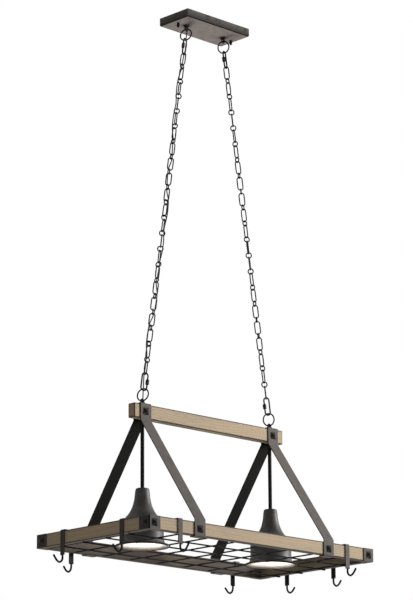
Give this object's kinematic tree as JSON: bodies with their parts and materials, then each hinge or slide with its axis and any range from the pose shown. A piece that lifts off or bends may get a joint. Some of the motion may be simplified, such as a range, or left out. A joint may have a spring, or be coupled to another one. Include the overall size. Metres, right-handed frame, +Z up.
{
  "type": "hanging pot rack",
  "caption": "Oblong wooden pot rack frame with a wire grid, hung by two chains from a ceiling canopy, with hooks round its edge and bell-shaped downlights under a beam.",
  "frame": {"origin": "middle of the mounting bar's top face, where the rack meets the ceiling", "axes": "+Z up to the ceiling, X along the long rails and the canopy, Y along the short rails"},
  "size_m": [1.0466, 0.5826, 1.8186],
  "materials": {
    "wood": "weathered light brown oak, low sheen",
    "iron": "brushed dark iron with a mottled matt lacquer",
    "chain": "near-black satin",
    "steel": "plain zinc-plated",
    "shade": "dark gunmetal satin outside, cream inside",
    "socket": "cream glazed",
    "bulb": "frosted warm white",
    "wire": "dark brown-black sheath"
  },
  "bodies": {
    "canopy": {"mounting_bar": "steel", "canopy_pan": "iron", "canopy_eye_left": "iron", "canopy_eye_right": "iron", "cap_nut_left": "iron", "cap_nut_right": "iron"},
    "chain_left": {"ring_top_left": "chain", "quick_link_top_left": "chain", "chain_left": "chain", "quick_link_bottom_left": "chain", "ring_bottom_left": "chain", "lamp_wire": "wire"},
    "chain_right": {"ring_top_right": "chain", "quick_link_top_right": "chain", "chain_right": "chain", "quick_link_bottom_right": "chain", "ring_bottom_right": "chain"},
    "sleeve_top_left": {"quick_sleeve_top_left": "chain"},
    "sleeve_bottom_left": {"quick_sleeve_bottom_left": "chain"},
    "sleeve_top_right": {"quick_sleeve_top_right": "chain"},
    "sleeve_bottom_right": {"quick_sleeve_bottom_right": "chain"},
    "rack": {"beam": "wood", "beam_eye_left": "iron", "beam_eye_right": "iron", "beam_bolt_left": "iron", "beam_bolt_right": "iron", "frame_strap_left": "iron", "frame_strap_right": "iron", "foot_bolt_front_left": "iron", "foot_bolt_back_left": "iron", "foot_bolt_front_right": "iron", "foot_bolt_back_right": "iron", "rail_front": "wood", "rail_back": "wood", "rail_left": "wood", "rail_right": "wood", "bracket_front_left": "iron", "bracket_front_right": "iron", "bracket_back_right": "iron", "bracket_back_left": "iron", "grid": "iron", "lamp_stem_left": "iron", "lamp_shade_left": "shade", "lamp_drum_left": "shade", "lamp_socket_left": "socket", "lamp_bulb_left": "bulb", "lamp_stem_right": "iron", "lamp_shade_right": "shade", "lamp_drum_right": "shade", "lamp_socket_right": "socket", "lamp_bulb_right": "bulb"},
    "hook_front_left": {"hook_front_left": "iron"},
    "hook_front_right": {"hook_front_right": "iron"},
    "hook_back_left": {"hook_back_left": "iron"},
    "hook_back_right": {"hook_back_right": "iron"},
    "hook_left_back": {"hook_left_back": "iron"},
    "hook_left_front": {"hook_left_front": "iron"},
    "hook_right_back": {"hook_right_back": "iron"},
    "hook_right_front": {"hook_right_front": "iron"}
  },
  "joints": [
    {"name": "chain_left_swing", "type": "hinge", "parent": "canopy", "child": "chain_left", "pos_m": [-0.0835, 0, -0.0453], "axis": [1, 0, 0], "range_deg": [-12, 12]},
    {"name": "chain_right_swing", "type": "hinge", "parent": "canopy", "child": "chain_right", "pos_m": [0.0835, 0, -0.0453], "axis": [1, 0, 0], "range_deg": [-12, 12]},
    {"name": "rack_tilt", "type": "hinge", "parent": "chain_left", "child": "rack", "pos_m": [-0.279, 0, -1.30299], "axis": [1, 0, 0], "range_deg": [-12, 12]},
    {"name": "sleeve_top_left_screw", "type": "slide", "parent": "chain_left", "child": "sleeve_top_left", "axis": [-0.1536, 0, -0.9881], "range_m": [0, 0.008]},
    {"name": "sleeve_bottom_left_screw", "type": "slide", "parent": "chain_left", "child": "sleeve_bottom_left", "axis": [0.1536, 0, 0.9881], "range_m": [0, 0.008]},
    {"name": "sleeve_top_right_screw", "type": "slide", "parent": "chain_right", "child": "sleeve_top_right", "axis": [0.1536, 0, -0.9881], "range_m": [0, 0.008]},
    {"name": "sleeve_bottom_right_screw", "type": "slide", "parent": "chain_right", "child": "sleeve_bottom_right", "axis": [-0.1536, 0, 0.9881], "range_m": [0, 0.008]},
    {"name": "hook_front_left_slide", "type": "slide", "parent": "rack", "child": "hook_front_left", "axis": [1, 0, 0], "range_m": [-0.07, 0.048]},
    {"name": "hook_front_right_slide", "type": "slide", "parent": "rack", "child": "hook_front_right", "axis": [1, 0, 0], "range_m": [-0.052, 0.066]},
    {"name": "hook_back_left_slide", "type": "slide", "parent": "rack", "child": "hook_back_left", "axis": [1, 0, 0], "range_m": [-0.085, 0.033]},
    {"name": "hook_back_right_slide", "type": "slide", "parent": "rack", "child": "hook_back_right", "axis": [1, 0, 0], "range_m": [-0.045, 0.073]},
    {"name": "hook_left_back_slide", "type": "slide", "parent": "rack", "child": "hook_left_back", "axis": [0, 1, 0], "range_m": [-0.12, 0.065]},
    {"name": "hook_left_front_slide", "type": "slide", "parent": "rack", "child": "hook_left_front", "axis": [0, 1, 0], "range_m": [-0.065, 0.12]},
    {"name": "hook_right_back_slide", "type": "slide", "parent": "rack", "child": "hook_right_back", "axis": [0, 1, 0], "range_m": [-0.1, 0.069]},
    {"name": "hook_right_front_slide", "type": "slide", "parent": "rack", "child": "hook_right_front", "axis": [0, 1, 0], "range_m": [-0.119, 0.08]}
  ],
  "couplings": [
    {"joint": "chain_right_swing", "follows": "chain_left_swing", "ratio": 1}
  ]
}
